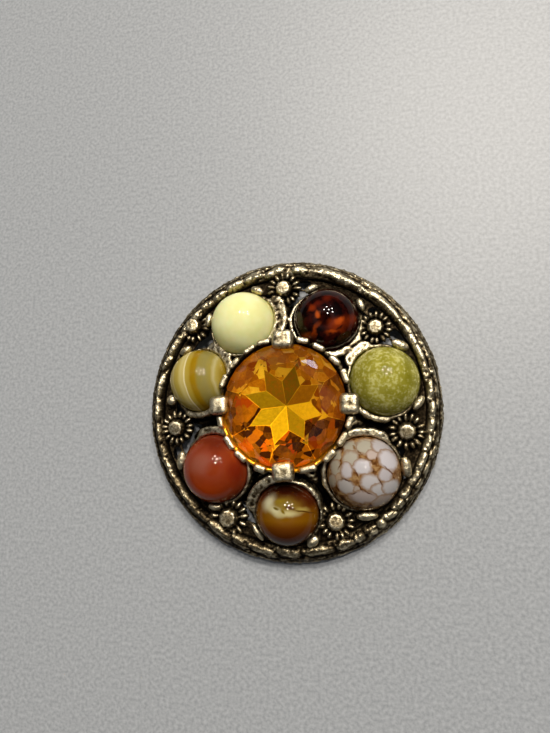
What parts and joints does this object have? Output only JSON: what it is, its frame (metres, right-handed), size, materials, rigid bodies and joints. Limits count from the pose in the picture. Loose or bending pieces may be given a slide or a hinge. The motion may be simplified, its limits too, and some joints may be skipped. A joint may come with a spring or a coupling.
{
  "type": "round cabochon brooch",
  "caption": "Round cast brooch with a rope rim, a raised faceted glass centre, a ring of domed agate cabochons in leaning cups, small flowers between them and a pin behind.",
  "frame": {"origin": "centre of the rim on the plane that the rim's back lies on", "axes": "+Z out of the brooch's face, +X towards its right and +Y towards its top as worn"},
  "size_m": [0.0458, 0.0458, 0.0089],
  "materials": {
    "antique_metal": "antiqued gold tone casting, worn bright on top and blackened in its recesses",
    "amber_glass": "clear amber glass with cut and polished facets, foiled behind",
    "cream_stone": "polished, waxy cream",
    "tortoise_stone": "polished, nearly black with red-brown patches",
    "green_stone": "polished, speckled olive green",
    "marbled_stone": "polished, white lumps in amber-brown veins",
    "brown_stone": "polished, brown with a cream cloud",
    "carnelian_stone": "polished, red-brown",
    "banded_stone": "polished, yellow and ochre bands",
    "pin_metal": "plain drawn wire and sheet, lightly tarnished"
  },
  "bodies": {
    "root": {"setting": "antique_metal", "center_stone": "amber_glass", "stone_cream": "cream_stone", "stone_tortoise": "tortoise_stone", "stone_green": "green_stone", "stone_marbled": "marbled_stone", "stone_brown": "brown_stone", "stone_carnelian": "carnelian_stone", "stone_banded": "banded_stone", "brooch_pin": "pin_metal"}
  },
  "joints": []
}
